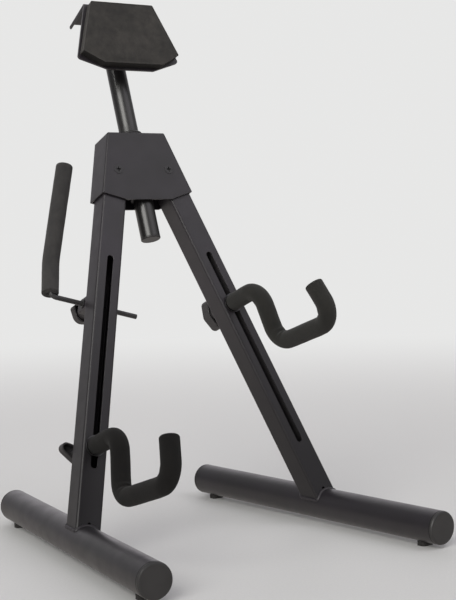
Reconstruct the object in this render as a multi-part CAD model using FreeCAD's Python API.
import FreeCAD, Part
import math
import os

# Folding A-frame instrument stand, millimetres, +Z up, origin on the floor at the
# centre of the footprint, front towards -Y. The two legs, the head and the backrest
# tube all lie in one plane that leans back from vertical.
# Head frame: x to the right, y up the leaning plane, z out of its front face,
# origin midway between the leg pivots.
# Leg frame: origin on the pivot axis, x across the leg towards the right, y up the
# leg, z out of its front face.
V = FreeCAD.Vector
ZERO, X_AXIS, Y_AXIS, Z_AXIS = V(0, 0, 0), V(1, 0, 0), V(0, 1, 0), V(0, 0, 1)

# ---------------------------------------------------------------- driving sizes
LEAN = 20.0            # lean of the frame plane from vertical, degrees
HALF_ANGLE = 16.5      # each leg from the centre line when open, degrees
ORIGIN_Y = 128.170     # pivot line behind the footprint centre
ORIGIN_Z = 428.448     # pivot line above the floor
PIVOT_X = 35.0         # pivots either side of the centre

GAP = 0.05             # clearance between stacked or sliding parts
FINE_GAP = 0.02        # clearance between close-fitting parts
PLUG_GAP = 0.03        # radial clearance of plugs in tubes

LEG = 30.0             # square leg tube
LEG_FACE = LEG / 2.0   # leg axis to each face
LEG_WALL = 1.5
LEG_ROUND = 3.0
LEG_LEN = 450.0        # pivot to foot tube axis
SLOT_TOP = 113.0       # slot ends, measured down from the pivot
SLOT_BOTTOM = 371.0
SLOT_W = 8.0
VENT_DOWN = 433.5      # small hole in the front wall, down from the pivot
VENT_R = 1.9
LEG_INSIDE_REAR = -LEG_FACE + LEG_WALL

FOOT_R = 19.0          # foot tube
FOOT_WALL = 2.0
FOOT_FRONT = 197.0     # leg axis to front end, cap included
FOOT_REAR = 236.0
FOOT_TILT = 20.787     # foot axis from the leg's front normal, degrees
CAP_HEAD = 4.0
CAP_PLUG_END = 16.0    # outer face of a cap to the end of its plug
PAD_DROP = 4.0         # rubber foot below the tube
PAD_PLACES = (-211.0, 169.0)   # rubber feet along the tube, rear and front
PAD_STUD_R = 2.5

SHEET = 2.0            # head housing sheet
HEAD_FRONT = 18.0
HEAD_BACK = -19.0
HEAD_FRONT_IN = HEAD_FRONT - SHEET
HEAD_BACK_IN = HEAD_BACK + SHEET
HEAD_TOP_Y, HEAD_TOP_X = 49.06, 39.5
HEAD_SIDE_Y, HEAD_SIDE_X = -29.45, 62.3
HEAD_LOW_Y, HEAD_LOW_X = -39.3, 31.0
HEAD_ROUND = 2.5
HEAD_OUTLINE = [       # x, y
    (-HEAD_TOP_X, HEAD_TOP_Y), (HEAD_TOP_X, HEAD_TOP_Y),
    (HEAD_SIDE_X, HEAD_SIDE_Y), (HEAD_LOW_X, HEAD_LOW_Y),
    (-HEAD_LOW_X, HEAD_LOW_Y), (-HEAD_SIDE_X, HEAD_SIDE_Y),
]

BOLT_R = 3.95          # pivot bolts in 8 mm holes
HOLE_R = 4.0
BOLT_HEAD_R = 6.0
BOLT_END = -28.0
LOCK_Y = 8.0           # lock screw above the pivot line
LOCK_HOLE_R = 4.2
LOCK_NUT_T = 6.5

TUBE_R = 12.0          # backrest tube
TUBE_WALL = 1.5
TUBE_BOTTOM = -82.8
TUBE_STOCK_TOP = 216.0  # before trimming under the plate's flange
SLEEVE_IN = 13.5
SLEEVE_OUT = 15.0
SLEEVE_BOTTOM = -30.0
SLEEVE_TOP = HEAD_TOP_Y + 2.0
BUSH_IN = TUBE_R + GAP
BUSH_OUT = SLEEVE_IN - GAP

PLATE_FRONT = 36.0     # front face of the backrest plate
PLATE_T = 2.5
PLATE_TOP, PLATE_LOW = 213.0, 124.0
PLATE_TOP_X = 46.3
BEND_R = 3.2           # outside radius of the bend along its top
PLATE_OUTLINE = [      # x, y
    (-PLATE_TOP_X, PLATE_TOP), (PLATE_TOP_X, PLATE_TOP), (70.2, 137.2),
    (32.0, PLATE_LOW), (-32.0, PLATE_LOW), (-70.2, 137.2),
]
FLANGE_DROP = math.radians(8.9)            # flange slope below square
FLANGE_T = PLATE_T / math.cos(FLANGE_DROP)  # flange thickness measured along y
FLANGE_REACH = -12.0   # how far back the flange goes
TONGUE_X = 18.0        # half width of the tongue at the middle of the flange
LIP_W = 2.0            # lips at the flange's sides
FOAM_FRONT = 47.4
FOAM_OUTLINE = [       # x, y
    (-43.0, 210.1), (43.0, 210.1), (66.5, 142.0),
    (40.5, 127.5), (-40.5, 127.5), (-66.5, 142.0),
]

ROD_R = 3.9            # hook rods and knob screws, nominal 8 mm
HOOK_FOAM_R = 10.75
HOOK_BEND = 21.0
CORE_GAP = 0.06        # radial clearance of foam round a rod
FOAM_END = 3.0         # foam beyond the tip of its rod
HOOKS = {              # down: below the pivot, turn: swivel in degrees
    # runs: lengths out, down, out and up; leans: degrees off square of the last three
    "left": dict(down=345.4, turn=6.2, runs=(61.5, 72.0, 115.4, 49.0),
                 leans=(0.0, -3.0, -3.7)),
    "right": dict(down=182.9, turn=-2.4, runs=(61.5, 72.0, 114.4, 49.0),
                  leans=(-8.0, -3.2, -10.5)),
}

ARM_DOWN = 165.1       # side arm clamp, down the left leg
ARM_Z = -24.0          # side arm rod axis behind the leg axis
ARM_ROD_R = 3.0
ARM_FOAM_R = 10.25
ARM_RIGHT = 56.3       # ends of the crosswise run
ARM_LEFT = -55.6
ARM_RUNS = ((48.0, -11.0), (124.0, 7.05))  # length, lean to the front in degrees
ARM_BEND = 8.0         # from the crosswise run into the first upward run
ARM_SOFT_BEND = 60.0   # between the upward runs
ARM_BUSH_R = 4.5
BLOCK_FRONT = -LEG_FACE - 1.0
BLOCK_REAR = -37.0

KNOBS = {  # hub radius, wing tip radius and offset, grip near and far end, wing turn
    "hook_left": (9.5, 6.2, 16.4, 11.5, 22.4, 158.0),
    "hook_right": (10.4, 6.4, 13.2, 8.0, 24.0, 88.0),
    "lock": (11.5, 4.5, 18.0, 4.0, 23.0, 0.0),
    "arm": (11.1, 4.2, 11.1, 14.0, 25.0, 152.5),
}
KNOB_WALL = 2.0
KNOB_BOSS_R = 7.8
KNOB_BORE = 20.0
HOOK_ROD_DEPTH = 19.0  # hook rod into its knob
SCREW_DEPTH = 19.5     # screw into its knob
INSERT_R = 6.0
INSERT_LEN = 14.0

LOCK_KNOB_Z = HEAD_BACK - LOCK_NUT_T - 0.2
HOOK_KNOB_Z = -LEG_FACE - 4.1
ARM_KNOB_Z = BLOCK_REAR - 0.2


# ---------------------------------------------------------------- frames
def frame(base, axis=Z_AXIS, degrees=0.0):
    return FreeCAD.Placement(base, FreeCAD.Rotation(axis, degrees))


HEAD = frame(V(0, ORIGIN_Y, ORIGIN_Z), X_AXIS, 90.0 - LEAN)
LOCK = HEAD.multiply(frame(V(0, LOCK_Y, 0)))
TUBE = HEAD.multiply(frame(ZERO, X_AXIS, -90))   # z up the head's y axis
LEGS = {
    name: HEAD.multiply(frame(V(sign * PIVOT_X, 0, 0), Z_AXIS, sign * HALF_ANGLE))
    for name, sign in (("left", -1), ("right", 1))
}
# inside a leg frame: z along the foot tube towards the front, y up
FOOT = frame(V(0, -LEG_LEN, 0), X_AXIS, FOOT_TILT)


def down_leg(name, distance):
    return LEGS[name].multiply(frame(V(0, -distance, 0)))


def save(name, shape, place):
    placed = shape.copy()
    placed.Placement = place.multiply(placed.Placement)
    solids = placed.Solids
    result = solids[0] if len(solids) == 1 else Part.makeCompound(solids)
    result.exportStep("parts/" + name + ".step")


# ---------------------------------------------------------------- shape helpers
# Cutters run past the faces they cut, mostly by 1 mm.
def cyl(r, z0, z1, x=0.0, y=0.0):
    return Part.makeCylinder(r, z1 - z0, V(x, y, z0), Z_AXIS)


def cyl_x(r, x0, x1, z):
    return Part.makeCylinder(r, x1 - x0, V(x0, 0, z), X_AXIS)


def cyl_y(r, y0, y1, z=0.0):
    return Part.makeCylinder(r, y1 - y0, V(0, y0, z), Y_AXIS)


def ring(r_out, r_in, z0, z1, x=0.0):
    return cyl(r_out, z0, z1, x).cut(cyl(r_in, z0 - 1, z1 + 1, x))


def cone(r0, r1, z0, z1, x=0.0):
    return Part.makeCone(r0, r1, z1 - z0, V(x, 0, z0), Z_AXIS)


def box(x0, x1, y0, y1, z0, z1):
    return Part.makeBox(x1 - x0, y1 - y0, z1 - z0, V(x0, y0, z0))


def polygon_face(points):
    return Part.Face(Part.makePolygon(points + [points[0]]))


def prism(points, z0, z1):
    """(x, y) points extruded along z."""
    return polygon_face([V(x, y, z0) for x, y in points]).extrude(V(0, 0, z1 - z0))


def side_prism(points, x0, x1):
    """(z, y) points extruded across x."""
    return polygon_face([V(x0, y, z) for z, y in points]).extrude(V(x1 - x0, 0, 0))


def revolve(points):
    """(radius, z) points turned round the z axis."""
    return polygon_face([V(r, 0, z) for r, z in points]).revolve(ZERO, Z_AXIS, 360)


def hexagon(across_flats, z0, z1, x=0.0, y=0.0):
    r = across_flats / math.sqrt(3.0)
    angles = [math.radians(60 * k) for k in range(6)]
    return prism([(x + r * math.cos(a), y + r * math.sin(a)) for a in angles], z0, z1)


def fillet_where(shape, radius, test):
    """Fillet the edges whose bounding box passes the test."""
    edges = [edge for edge in shape.Edges if test(edge.BoundBox)]
    if not edges:
        return shape
    # guards against a fillet the kernel cannot build: the edges then stay sharp
    try:
        out = shape.makeFillet(radius, edges)
        if out.isValid() and out.Volume > 0:
            return out
    except Exception:
        pass
    return shape


def bent_path(points, bends):
    """Straight runs joined by tangent arcs, one radius for each inner point."""
    edges, last = [], points[0]
    for before, corner, after, r in zip(points, points[1:], points[2:], bends):
        dir_in = (corner - before).normalize()
        dir_out = (after - corner).normalize()
        half_turn = dir_in.getAngle(dir_out) / 2.0
        back = r * math.tan(half_turn)
        arc_start, arc_end = corner - dir_in * back, corner + dir_out * back
        inward = (dir_out - dir_in).normalize()
        centre = corner + inward * (r / math.cos(half_turn))
        edges.append(Part.makeLine(last, arc_start))
        edges.append(Part.Arc(arc_start, centre - inward * r, arc_end).toShape())
        last = arc_end
    edges.append(Part.makeLine(last, points[-1]))
    return Part.Wire(edges)


def bent_rod(points, bends, radius):
    path = bent_path(points, bends)
    ends = path.Edges[0].Vertexes
    start = ends[0].Point
    direction = (ends[1].Point - start).normalize()
    circle = Part.Wire([Part.makeCircle(radius, start, direction)])
    return path.makePipeShell([circle], True, False)


# ---------------------------------------------------------------- knobs
def winged_prism(hub_r, tip_r, reach, z0, z1):
    """Hub with a tapering round-tipped wing on each side."""
    shape = cyl(hub_r, z0, z1)
    tangent = math.acos((hub_r - tip_r) / reach)
    cos_t, sin_t = math.cos(tangent), math.sin(tangent)
    for sign in (1, -1):
        hub_x, tip_x = sign * hub_r * cos_t, sign * (reach + tip_r * cos_t)
        shape = shape.fuse(cyl(tip_r, z0, z1, sign * reach))
        wing = [(hub_x, hub_r * sin_t), (tip_x, tip_r * sin_t),
                (tip_x, -tip_r * sin_t), (hub_x, -hub_r * sin_t)]
        shape = shape.fuse(prism(wing, z0, z1))
    return shape.removeSplitter()


def knob(kind, face_z, bore_r, has_insert=False):
    """Two-winged grip on a boss, running back from face_z, its hollow side to the front."""
    hub, tip, reach, near, far, turn = KNOBS[kind]
    grip = winged_prism(hub, tip, reach, near, far)
    grip = fillet_where(grip, 2.0, lambda b: b.ZLength < 0.01 and b.ZMin > far - 0.01)
    grip = fillet_where(grip, 0.8, lambda b: b.ZLength < 0.01 and b.ZMax < near + 0.01)
    hollow = winged_prism(hub - KNOB_WALL, tip - KNOB_WALL, reach, near - 1, far - 3.2)
    body = grip.cut(hollow).fuse(cyl(KNOB_BOSS_R, 0, far - 2.0)).removeSplitter()
    body = body.cut(cyl(bore_r, -1, KNOB_BORE))
    if has_insert:
        body = body.cut(cyl(INSERT_R + FINE_GAP, -1, INSERT_LEN + GAP))
    # modelled along +z, then turned over to run back along -z
    turned_over = frame(V(0, 0, face_z), X_AXIS, 180.0)
    body.Placement = frame(ZERO, Z_AXIS, turn).multiply(turned_over)
    return body


def knob_insert(face_z):
    """Threaded metal insert of a hook knob, with a knurl groove."""
    body = ring(INSERT_R, HOLE_R, face_z - INSERT_LEN, face_z)
    groove = ring(6.5, 5.4, face_z - INSERT_LEN * 0.6, face_z - INSERT_LEN * 0.4)
    return body.cut(groove)


# ---------------------------------------------------------------- head
def housing_inside():
    """Inside of the housing's top and sides, open at the bottom."""
    side = V(HEAD_SIDE_X - HEAD_TOP_X, HEAD_SIDE_Y - HEAD_TOP_Y, 0).normalize()
    sheet_across = SHEET / -side.y             # sheet measured across x
    top, bottom = HEAD_TOP_Y - SHEET, -70.0    # bottom lies well below the housing

    def half_width(y):
        return HEAD_TOP_X + (HEAD_TOP_Y - y) * side.x / -side.y - sheet_across

    return [(-half_width(top), top), (half_width(top), top),
            (half_width(bottom), bottom), (-half_width(bottom), bottom)]


def head_housing():
    body = prism(HEAD_OUTLINE, HEAD_BACK_IN, HEAD_FRONT)
    body = fillet_where(body, HEAD_ROUND, lambda b: (
        (b.ZMin > HEAD_FRONT - 0.01 and b.YMax > HEAD_SIDE_Y + 1)
        or (b.ZLength > 20 and b.YMin > HEAD_TOP_Y - 1)))
    body = body.cut(prism(housing_inside(), HEAD_BACK_IN - 1, HEAD_FRONT_IN))
    for x in (-PIVOT_X, PIVOT_X):
        body = body.cut(cyl(HOLE_R, 0, HEAD_FRONT + 1, x))
        body = body.cut(cone(HOLE_R, BOLT_HEAD_R + GAP, HEAD_FRONT_IN, HEAD_FRONT + 0.01, x))
    return body.cut(cyl_y(SLEEVE_OUT + FINE_GAP, HEAD_TOP_Y - 6, HEAD_TOP_Y + 6))


def head_rear_plate():
    body = prism(HEAD_OUTLINE, HEAD_BACK, HEAD_BACK_IN - FINE_GAP)
    for x, y, r in ((-PIVOT_X, 0, HOLE_R), (PIVOT_X, 0, HOLE_R), (0, LOCK_Y, LOCK_HOLE_R)):
        body = body.cut(cyl(r, HEAD_BACK - 1, HEAD_BACK_IN + 1, x, y))
    return fillet_where(body, HEAD_ROUND,
                        lambda b: b.ZLength > 1.9 and b.YMin > HEAD_TOP_Y - 1)


def tube_guide_sleeve():
    body = cyl_y(SLEEVE_OUT, SLEEVE_BOTTOM, SLEEVE_TOP)
    body = body.cut(cyl_y(SLEEVE_IN, SLEEVE_BOTTOM - 10, SLEEVE_TOP + 10))
    return body.cut(cyl(LOCK_HOLE_R, -20, 0, 0, LOCK_Y))


def guide_bush_upper():
    seat, bottom = SLEEVE_TOP + GAP, 26
    return revolve([
        (BUSH_IN, bottom), (BUSH_OUT, bottom), (BUSH_OUT, seat), (15.4, seat),
        (15.4, SLEEVE_TOP + 1.2), (14.4, SLEEVE_TOP + 2.4), (BUSH_IN, SLEEVE_TOP + 2.4)])


def guide_bush_lower():
    seat, bottom, top, rim_r = SLEEVE_BOTTOM - GAP, -33, -8, 14.8
    return revolve([(BUSH_IN, bottom), (rim_r, bottom), (rim_r, seat),
                    (BUSH_OUT, seat), (BUSH_OUT, top), (BUSH_IN, top)])


def pivot_bolt(x):
    """Countersunk bolt with a raised rim and a cross recess."""
    body = cyl(BOLT_R, BOLT_END, HEAD_FRONT_IN + 0.05, x)
    body = body.fuse(cone(BOLT_R, BOLT_HEAD_R, HEAD_FRONT_IN + 0.02, HEAD_FRONT, x))
    body = body.fuse(cyl(BOLT_HEAD_R, HEAD_FRONT, HEAD_FRONT + 0.35, x)).removeSplitter()
    long, wide = 3.0, 0.65                     # half sizes of each recess bar
    z0, z1 = HEAD_FRONT - 2.0, HEAD_FRONT + 1
    cross = box(x - long, x + long, -wide, wide, z0, z1)
    return body.cut(cross.fuse(box(x - wide, x + wide, -long, long, z0, z1)))


def pivot_nut(x):
    collar_z = HEAD_BACK - 6.6
    body = hexagon(13.0, collar_z, HEAD_BACK - GAP, x)
    return body.fuse(cyl(5.6, collar_z - 2.0, collar_z, x)).cut(cyl(HOLE_R, -40, 0, x))


def pivot_washers(x):
    """One each side of the leg, inside the housing."""
    spans = ((LEG_FACE + GAP, HEAD_FRONT_IN - GAP), (HEAD_BACK_IN + GAP, -LEG_FACE - GAP))
    return [ring(11.0, 4.1, z0, z1, x) for z0, z1 in spans]


def lock_weld_nut():
    body = hexagon(14.0, HEAD_BACK - LOCK_NUT_T, HEAD_BACK - GAP, 0, LOCK_Y)
    return body.cut(cyl(HOLE_R, -40, 0, 0, LOCK_Y))


def lock_screw():
    shoulder, tip = -14.0, -12.2
    shank = cyl(ROD_R, LOCK_KNOB_Z - SCREW_DEPTH, shoulder)
    return shank.fuse(cone(ROD_R, 2.4, shoulder, tip)).removeSplitter()


# ---------------------------------------------------------------- backrest
def flange_y(z, drop=0.0):
    """Height of the flange's top face at depth z, less a drop."""
    return PLATE_TOP - (PLATE_FRONT - z) * math.tan(FLANGE_DROP) - drop


def backrest_plate():
    """Upright plate with a flange folded back along its top."""
    back = PLATE_FRONT - PLATE_T
    plate = side_prism([
        (PLATE_FRONT, flange_y(PLATE_FRONT)), (PLATE_FRONT, PLATE_LOW),
        (back, PLATE_LOW), (back, flange_y(back, FLANGE_T)),
        (FLANGE_REACH, flange_y(FLANGE_REACH, FLANGE_T)),
        (FLANGE_REACH, flange_y(FLANGE_REACH))], -90, 90)
    plate = fillet_where(plate, BEND_R, lambda b: (
        b.XLength > 100 and b.ZMin > PLATE_FRONT - 0.05 and b.YMin > 200))
    plate = fillet_where(plate, BEND_R - PLATE_T, lambda b: (
        b.XLength > 100 and abs(b.ZMin - back) < 0.05 and b.YMin > 200))

    # trim the upright to its outline and the flange to the outline's top width
    trim = prism(PLATE_OUTLINE, PLATE_FRONT - 5.0, PLATE_FRONT + 1.0)
    trim = fillet_where(trim, 4.0, lambda b: b.ZLength > 2 and b.YMax < 200)
    plate = plate.common(trim.fuse(box(-PLATE_TOP_X, PLATE_TOP_X, 150, 300,
                                       FLANGE_REACH - 1, PLATE_FRONT + 1.0)))
    lip_front = PLATE_FRONT - 4.0
    lip_profile = [
        (lip_front, flange_y(lip_front, 2.2)), (lip_front, flange_y(lip_front, FLANGE_T + 2.2)),
        (FLANGE_REACH, flange_y(FLANGE_REACH, FLANGE_T + 0.8)),
        (FLANGE_REACH, flange_y(FLANGE_REACH, 1.0))]
    lips = []
    for sign in (-1, 1):
        # cut the flange back between lip and tongue
        x0, x1 = sorted((sign * TONGUE_X, sign * (PLATE_TOP_X - LIP_W)))
        plate = plate.cut(box(x0, x1, 100, 300, FLANGE_REACH - 1, FLANGE_REACH + 8.0))
        x0, x1 = sorted((sign * PLATE_TOP_X, sign * (PLATE_TOP_X - LIP_W)))
        lips.append(side_prism(lip_profile, x0, x1))
    return plate.fuse(lips).removeSplitter()


def backrest_tube():
    """Round tube cut off along the underside of the flange."""
    body = cyl_y(TUBE_R, TUBE_BOTTOM, TUBE_STOCK_TOP)
    body = body.cut(cyl_y(TUBE_R - TUBE_WALL, TUBE_BOTTOM - 1, TUBE_STOCK_TOP + 100))
    drop = FLANGE_T + FINE_GAP
    above = side_prism([(60, flange_y(60, drop)), (60, 320),
                        (-60, 320), (-60, flange_y(-60, drop))], -60, 60)
    return body.cut(above)


def tube_end_plug():
    plug_r, hollow_r = TUBE_R - TUBE_WALL - PLUG_GAP, TUBE_R - 4.0
    bottom, seat, top = TUBE_BOTTOM - 2.5, TUBE_BOTTOM - FINE_GAP, TUBE_BOTTOM + 12
    return revolve([
        (0, bottom), (TUBE_R - 0.8, bottom), (TUBE_R, bottom + 0.8), (TUBE_R, seat),
        (plug_r, seat), (plug_r, top), (hollow_r, top), (hollow_r, TUBE_BOTTOM),
        (0, TUBE_BOTTOM)])


def backrest_pad():
    body = prism(FOAM_OUTLINE, PLATE_FRONT + GAP, FOAM_FRONT)
    return fillet_where(body, 6.0, lambda b: b.ZLength > 5)


# ---------------------------------------------------------------- legs and feet
def square_bar(half, y0, y1, round_r):
    bar = box(-half, half, y0, y1, -half, half)
    return bar.makeFillet(round_r, [e for e in bar.Edges if e.BoundBox.YLength > 50])


def leg_slot(z0, z1):
    r = SLOT_W / 2.0
    top, bottom = -SLOT_TOP - r, -SLOT_BOTTOM + r    # centres of the round ends
    body = box(-r, r, bottom, top, z0, z1)
    return body.fuse(cyl(r, z0, z1, 0, top)).fuse(cyl(r, z0, z1, 0, bottom)).removeSplitter()


def leg_tube():
    half, past = LEG_FACE, LEG_FACE + 1
    body = square_bar(half, -LEG_LEN, half, LEG_ROUND)
    # round the top about the pivot
    keep = box(-past, past, -LEG_LEN - 1, 0, -past, past).fuse(cyl(half, -past, past))
    body = body.common(keep)
    body = body.cut(square_bar(half - LEG_WALL, -LEG_LEN - 1, past, LEG_ROUND - LEG_WALL))
    body = body.cut(cyl(HOLE_R, -past, past))
    body = body.cut(leg_slot(-past, past))
    body = body.cut(cyl(VENT_R, 0, past, 0, -VENT_DOWN))
    # cope the lower end round the foot tube
    tilt = math.radians(FOOT_TILT)
    axis = V(0, -math.sin(tilt), math.cos(tilt))
    start = V(0, -LEG_LEN, 0) - axis * 80
    return body.cut(Part.makeCylinder(FOOT_R + FINE_GAP, 160, start, axis))


def pivot_sleeve():
    end = LEG_FACE - LEG_WALL - FINE_GAP
    return ring(6.5, HOLE_R, -end, end)


def foot_tube():
    rear, front = -FOOT_REAR + CAP_HEAD, FOOT_FRONT - CAP_HEAD
    bore_r, bevel = FOOT_R - FOOT_WALL, 0.7
    body = revolve([
        (bore_r, rear), (FOOT_R - bevel, rear), (FOOT_R, rear + bevel),
        (FOOT_R, front - bevel), (FOOT_R - bevel, front), (bore_r, front)])
    for z in PAD_PLACES:
        body = body.cut(cyl_y(PAD_STUD_R + GAP, -FOOT_R - 5, -FOOT_R + 5, z))
    return body


def foot_caps():
    plug_r = FOOT_R - FOOT_WALL - PLUG_GAP
    seat = -CAP_HEAD + FINE_GAP
    profile = [    # radius, distance out from the cap's outer face
        (0, 0), (FOOT_R - 2.2, 0), (FOOT_R - 0.9, -0.5), (FOOT_R - 0.2, -1.6),
        (FOOT_R, -2.8), (FOOT_R, seat), (plug_r, seat), (plug_r, -CAP_PLUG_END),
        (plug_r - 2, -CAP_PLUG_END), (plug_r - 2, -CAP_HEAD), (0, -CAP_HEAD)]
    return Part.makeCompound([revolve([(r, end + sign * z) for r, z in profile])
                              for end, sign in ((FOOT_FRONT, 1), (-FOOT_REAR, -1))])


def foot_pad(z):
    """Rubber block hollowed to the foot tube, with a stud up into it."""
    body = box(-8.5, 8.5, -FOOT_R - PAD_DROP, -FOOT_R + 4.0, z - 6, z + 6)
    body = fillet_where(body, 4.0, lambda b: b.YLength > 6)
    body = body.cut(cyl(FOOT_R + FINE_GAP, z - 20, z + 20))
    return body.fuse(cyl_y(PAD_STUD_R, -FOOT_R - 1, -FOOT_R + 4, z)).removeSplitter()


def pads_down(foot):
    """Foot frame spun about its axis so the pads point down when the stand is open."""
    up = foot.inverse().Rotation.multVec(Z_AXIS)
    return foot.multiply(frame(ZERO, Z_AXIS, math.degrees(math.atan2(-up.x, up.y))))


# ---------------------------------------------------------------- hooks
def hook_rod_and_foam(turn, runs, leans):
    """Rod clamped in the slot, running out, down, out and up, and its foam sleeve."""
    swivel = math.radians(turn)
    down, out = V(math.sin(swivel), -math.cos(swivel), 0), Z_AXIS
    lean_down, lean_out, lean_up = [math.radians(lean) for lean in leans]
    up_run = down * -math.cos(lean_up) + out * math.sin(lean_up)
    directions = (out,
                  down * math.cos(lean_down) + out * math.sin(lean_down),
                  out * math.cos(lean_out) - down * math.sin(lean_out),
                  up_run)
    points = [V(0, 0, LEG_FACE)]
    for direction, length in zip(directions, runs):
        points.append(points[-1] + direction * length)
    corners, end = points[1:4], points[4]
    bends = [HOOK_BEND] * 3
    rod_start = V(0, 0, HOOK_KNOB_Z - HOOK_ROD_DEPTH)
    rod = bent_rod([rod_start] + corners + [end - up_run * FOAM_END], bends, ROD_R)
    start = points[0] + out * 2.1              # just in front of the washer
    outer = bent_rod([start] + corners + [end], bends, HOOK_FOAM_R)
    core_end = end - up_run * (FOAM_END - 0.1)
    core = bent_rod([start - out * 5.0] + corners + [core_end], bends, ROD_R + CORE_GAP)
    return rod, outer.cut(core)


def hook_washers():
    front = ring(12.0, HOLE_R, LEG_FACE + GAP, LEG_FACE + 2.0)
    rear = ring(12.0, HOLE_R, -LEG_FACE - 4.0, -LEG_FACE - GAP)
    return Part.makeCompound([front, rear])


# ---------------------------------------------------------------- side arm
def arm_clamp_block():
    """Block behind the leg, with a stem through the slot to a bar inside the tube."""
    body = box(-14, 14, -8, 8, BLOCK_REAR, BLOCK_FRONT)
    body = fillet_where(body, 2.0, lambda b: b.ZLength > 15)
    bar_rear = LEG_INSIDE_REAR + GAP
    body = body.fuse(cyl(ROD_R, BLOCK_FRONT - 1, bar_rear))
    body = body.fuse(box(-9, 9, -3.7, 3.7, bar_rear, LEG_INSIDE_REAR + 4.0))
    body = body.cut(cyl_x(ARM_BUSH_R + GAP, -20, 20, ARM_Z))
    return body.cut(cyl(HOLE_R, BLOCK_REAR - 1, ARM_Z)).removeSplitter()


def arm_rod_bush():
    """Bush with a thin flange at each end."""
    body = cyl_x(ARM_BUSH_R, -14.6, 14.6, ARM_Z)
    for x0, x1 in ((-15.4, -14.1), (14.1, 15.4)):
        body = body.fuse(cyl_x(5.6, x0, x1, ARM_Z))
    return body.cut(cyl_x(ARM_ROD_R + GAP, -20, 20, ARM_Z)).removeSplitter()


def arm_rod_and_foam():
    """Rod crossing behind the leg and turning up at its left end, and its foam sleeve."""
    right, corner = V(ARM_RIGHT, 0, ARM_Z), V(ARM_LEFT, 0, ARM_Z)
    (low_len, low_dir), (top_len, top_dir) = [
        (length, V(0, math.cos(math.radians(lean)), math.sin(math.radians(lean))))
        for length, lean in ARM_RUNS]
    middle = corner + low_dir * low_len
    end = middle + top_dir * top_len
    bends = [ARM_BEND, ARM_SOFT_BEND]
    rod = bent_rod([right, corner, middle, end - top_dir * FOAM_END], bends, ARM_ROD_R)
    foam_start = corner + low_dir * 3.6        # the sleeve comes down over the bend
    outer = bent_rod([foam_start, middle, end], [ARM_SOFT_BEND], ARM_FOAM_R)
    core_end = end - top_dir * (FOAM_END - 0.1)
    core = bent_rod([corner + V(30, 0, 0), corner, middle, core_end],
                    bends, ARM_ROD_R + CORE_GAP)
    return rod, outer.cut(core)


def arm_clamp_screw():
    tip = ARM_Z - ARM_BUSH_R - 0.1
    shank = cyl(ROD_R, ARM_KNOB_Z - SCREW_DEPTH, tip - 1.0)
    return shank.fuse(cone(ROD_R, 3.0, tip - 1.0, tip)).removeSplitter()


# ---------------------------------------------------------------- build
os.makedirs("parts", exist_ok=True)
pivots = (-PIVOT_X, PIVOT_X)

save("head_housing", head_housing(), HEAD)
save("head_rear_plate", head_rear_plate(), HEAD)
save("tube_guide_sleeve", tube_guide_sleeve(), HEAD)
save("guide_bush_upper", guide_bush_upper(), TUBE)
save("guide_bush_lower", guide_bush_lower(), TUBE)
save("pivot_bolts", Part.makeCompound([pivot_bolt(x) for x in pivots]), HEAD)
save("pivot_nuts", Part.makeCompound([pivot_nut(x) for x in pivots]), HEAD)
save("pivot_washers", Part.makeCompound([w for x in pivots for w in pivot_washers(x)]), HEAD)
save("lock_weld_nut", lock_weld_nut(), HEAD)
save("lock_knob_grip", knob("lock", LOCK_KNOB_Z, ROD_R + FINE_GAP), LOCK)
save("lock_screw", lock_screw(), LOCK)

save("backrest_plate", backrest_plate(), HEAD)
save("backrest_tube", backrest_tube(), HEAD)
save("tube_end_plug", tube_end_plug(), TUBE)
save("backrest_pad", backrest_pad(), HEAD)

for name, leg in LEGS.items():
    foot = leg.multiply(FOOT)
    spun_foot = pads_down(foot)
    save(name + "_leg_tube", leg_tube(), leg)
    save(name + "_pivot_sleeve", pivot_sleeve(), leg)
    save(name + "_foot_caps", foot_caps(), foot)
    save(name + "_foot_pads", Part.makeCompound([foot_pad(z) for z in PAD_PLACES]), spun_foot)
    save(name + "_foot_tube", foot_tube(), spun_foot)

for name, hook in HOOKS.items():
    place = down_leg(name, hook["down"])
    rod, foam = hook_rod_and_foam(hook["turn"], hook["runs"], hook["leans"])
    grip = knob("hook_" + name, HOOK_KNOB_Z, HOLE_R + 0.2, has_insert=True)
    save(name + "_hook_rod", rod, place)
    save(name + "_hook_foam", foam, place)
    save(name + "_hook_washers", hook_washers(), place)
    save(name + "_hook_knob_grip", grip, place)
    save(name + "_hook_knob_insert", knob_insert(HOOK_KNOB_Z), place)

place = down_leg("left", ARM_DOWN)
rod, foam = arm_rod_and_foam()
save("arm_clamp_block", arm_clamp_block(), place)
save("arm_slot_washer", ring(9.0, HOLE_R, BLOCK_FRONT + GAP, -LEG_FACE - GAP), place)
save("arm_rod_bush", arm_rod_bush(), place)
save("arm_rod", rod, place)
save("arm_foam", foam, place)
save("arm_knob_grip", knob("arm", ARM_KNOB_Z, ROD_R + FINE_GAP), place)
save("arm_clamp_screw", arm_clamp_screw(), place)
